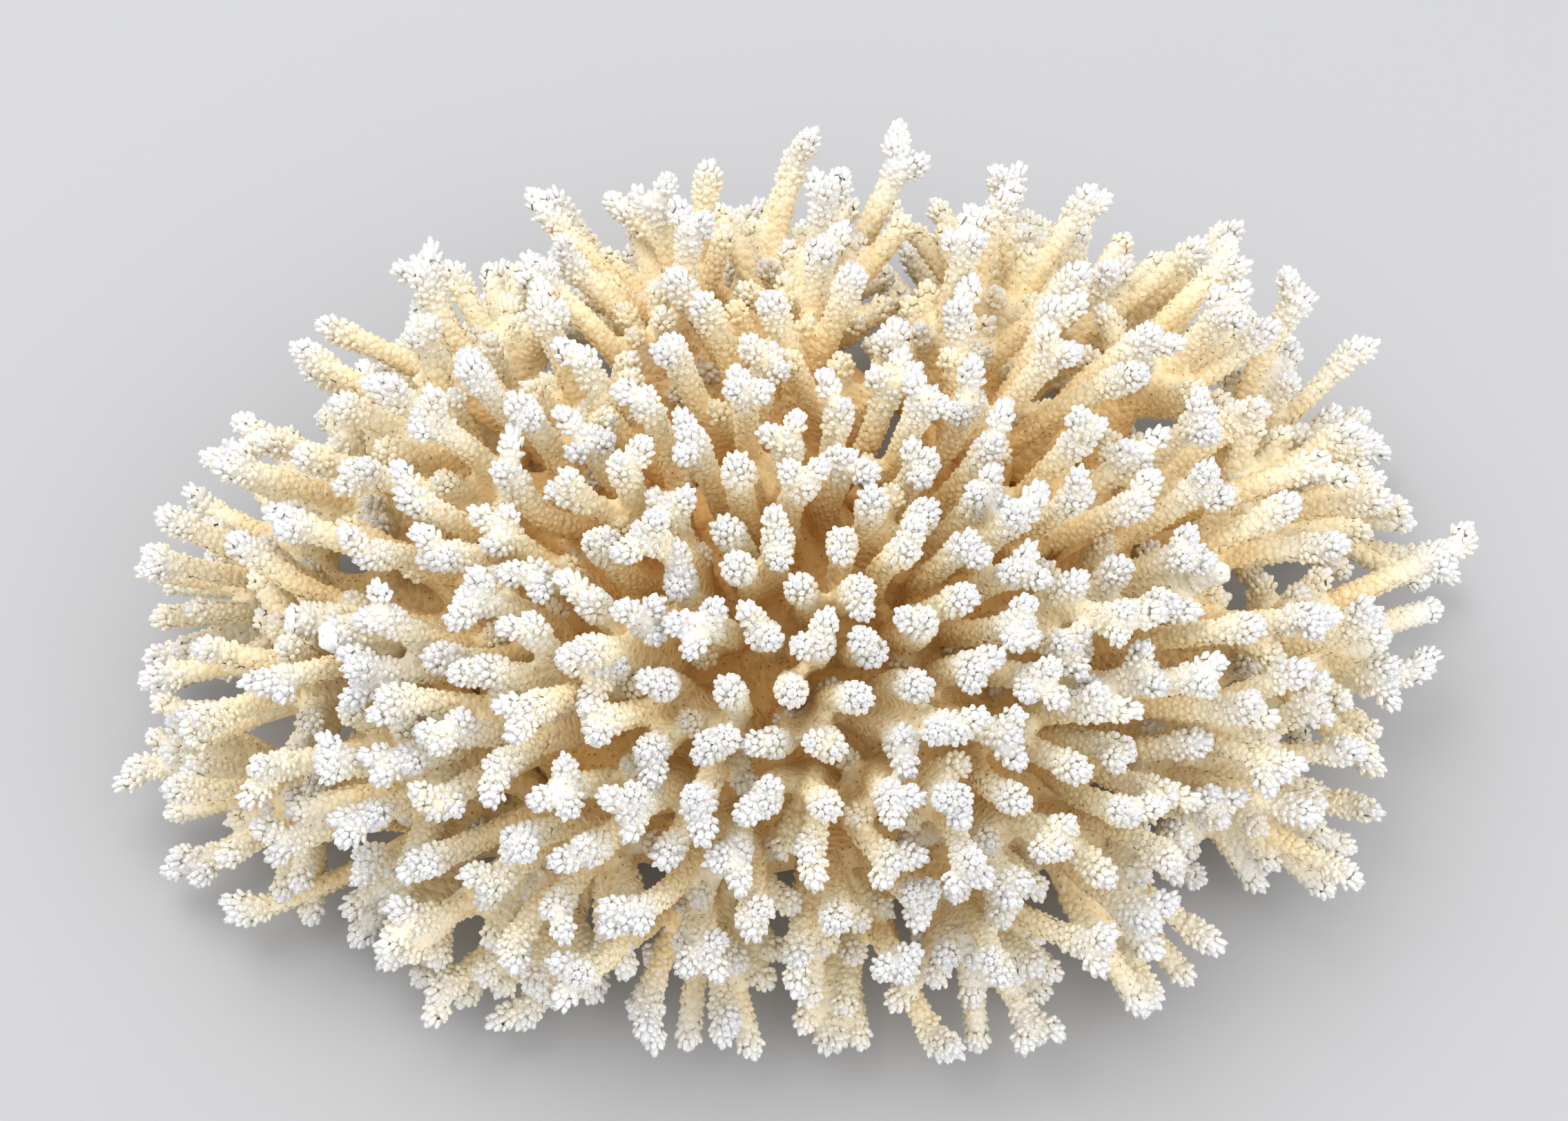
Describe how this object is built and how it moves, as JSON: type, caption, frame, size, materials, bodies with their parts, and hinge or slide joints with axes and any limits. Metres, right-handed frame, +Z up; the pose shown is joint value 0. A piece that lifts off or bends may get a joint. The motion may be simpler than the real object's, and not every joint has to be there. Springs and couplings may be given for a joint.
{
  "type": "branching coral",
  "caption": "Bleached branching coral: an oval, domed cluster of cup-covered fingers on forked limbs, grown from one holdfast that is cut off flat to rest on.",
  "frame": {"origin": "middle of the flat cut under the holdfast, which is the face that the colony rests on", "axes": "+X along the colony's long side, to the right as seen from the front; +Z up, square to the cut; the front is towards -Y"},
  "size_m": [0.2964, 0.2127, 0.0969],
  "materials": {
    "finger_skeleton": "matt chalky, white at the finger tips, cream to honey towards the forks, slightly translucent",
    "holdfast_skeleton": "matt, pitted, greyish beige with a pale granular cut face"
  },
  "bodies": {
    "root": {"holdfast": "holdfast_skeleton", "crown_limb": "finger_skeleton", "shoulder_limb_1": "finger_skeleton", "shoulder_limb_2": "finger_skeleton", "shoulder_limb_3": "finger_skeleton", "shoulder_limb_4": "finger_skeleton", "shoulder_limb_5": "finger_skeleton", "shoulder_limb_6": "finger_skeleton", "flank_limb_1": "finger_skeleton", "flank_limb_2": "finger_skeleton", "flank_limb_3": "finger_skeleton", "flank_limb_4": "finger_skeleton", "flank_limb_5": "finger_skeleton", "flank_limb_6": "finger_skeleton", "flank_limb_7": "finger_skeleton", "flank_limb_8": "finger_skeleton", "flank_limb_9": "finger_skeleton", "flank_limb_10": "finger_skeleton", "rim_limb_1": "finger_skeleton", "rim_limb_2": "finger_skeleton", "rim_limb_3": "finger_skeleton", "rim_limb_4": "finger_skeleton", "rim_limb_5": "finger_skeleton", "rim_limb_6": "finger_skeleton", "rim_limb_7": "finger_skeleton", "rim_limb_8": "finger_skeleton", "rim_limb_9": "finger_skeleton", "rim_limb_10": "finger_skeleton", "rim_limb_11": "finger_skeleton", "rim_limb_12": "finger_skeleton", "rim_limb_13": "finger_skeleton", "rim_limb_14": "finger_skeleton"}
  },
  "joints": []
}
